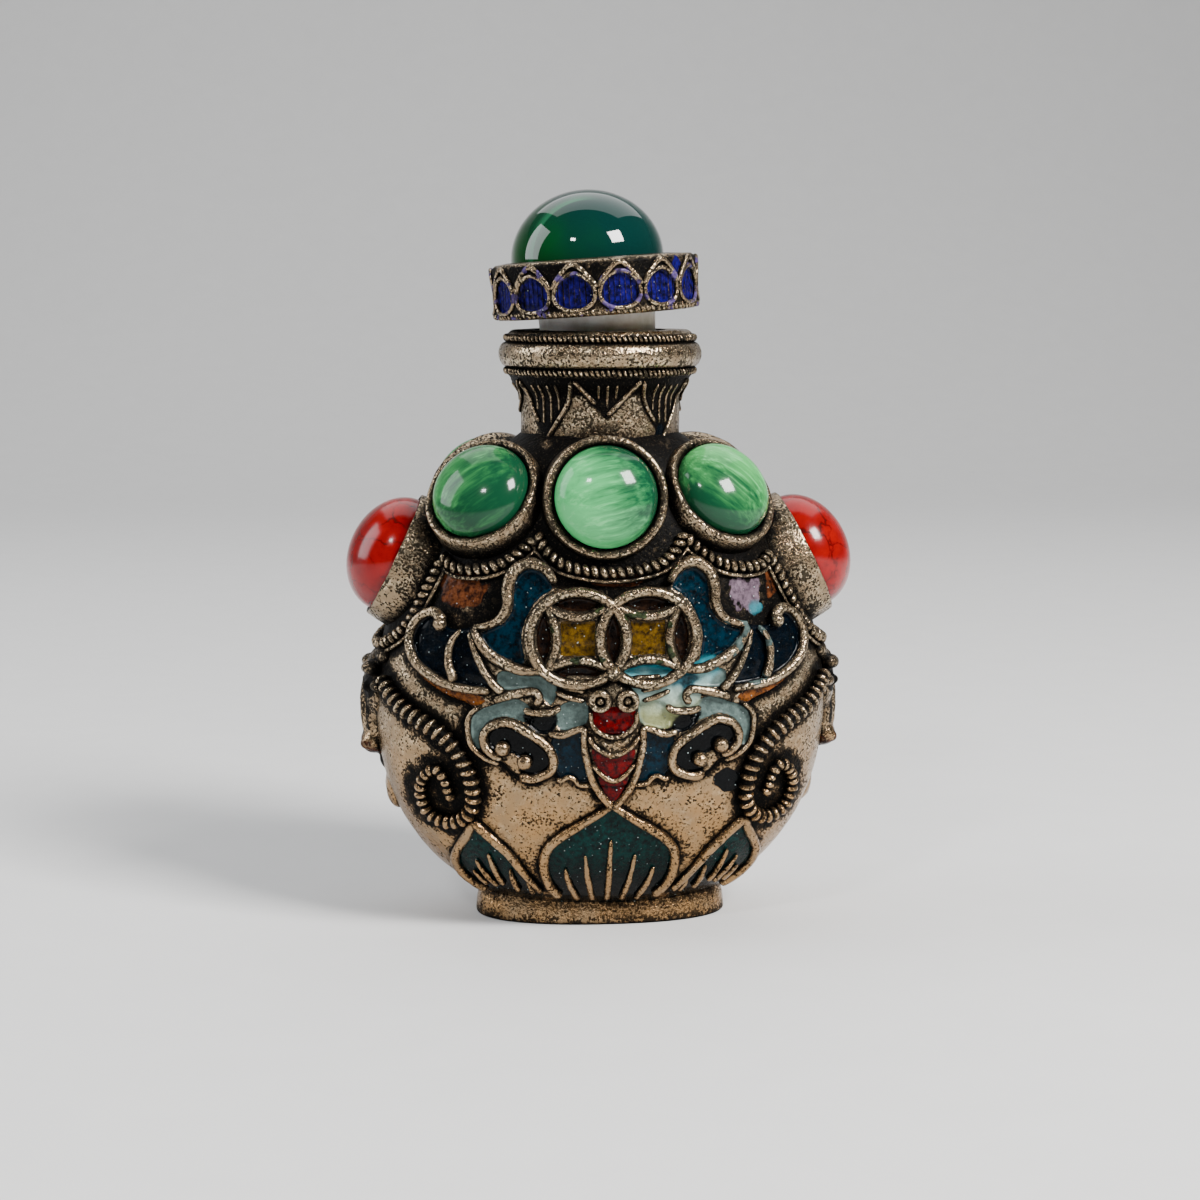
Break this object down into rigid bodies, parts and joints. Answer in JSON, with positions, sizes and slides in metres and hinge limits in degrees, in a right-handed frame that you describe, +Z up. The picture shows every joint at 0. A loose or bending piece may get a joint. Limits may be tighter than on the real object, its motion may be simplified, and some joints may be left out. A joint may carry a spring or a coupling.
{
  "type": "snuff bottle",
  "caption": "Flat flask-shaped cast metal snuff bottle with bat and coin relief, cabochon stones and a lift-off stopper lid.",
  "frame": {"origin": "centre of the foot's underside, at the base of the bounding box", "axes": "+Z up to the lid, front face towards -Y, +X to the right as seen from the front"},
  "size_m": [0.0462, 0.0288, 0.0661],
  "materials": {
    "cast_metal": "cast silver-gold alloy with black patina in the recesses and coloured enamel",
    "green_stone": "polished fibrous cat's-eye glass",
    "red_stone": "polished, with faint dark veins",
    "lid_metal": "cast alloy with ultramarine enamel cells",
    "lid_stone": "polished translucent dark green",
    "stopper": "pale, slightly translucent plug"
  },
  "bodies": {
    "root": {"bottle_body": "cast_metal", "green_stone_front_left": "green_stone", "green_stone_front_centre": "green_stone", "green_stone_front_right": "green_stone", "green_stone_back_left": "green_stone", "green_stone_back_centre": "green_stone", "green_stone_back_right": "green_stone", "red_stone_left": "red_stone", "red_stone_right": "red_stone", "lid_ring": "lid_metal", "lid_stone": "lid_stone", "stopper_stem": "stopper"}
  },
  "joints": []
}
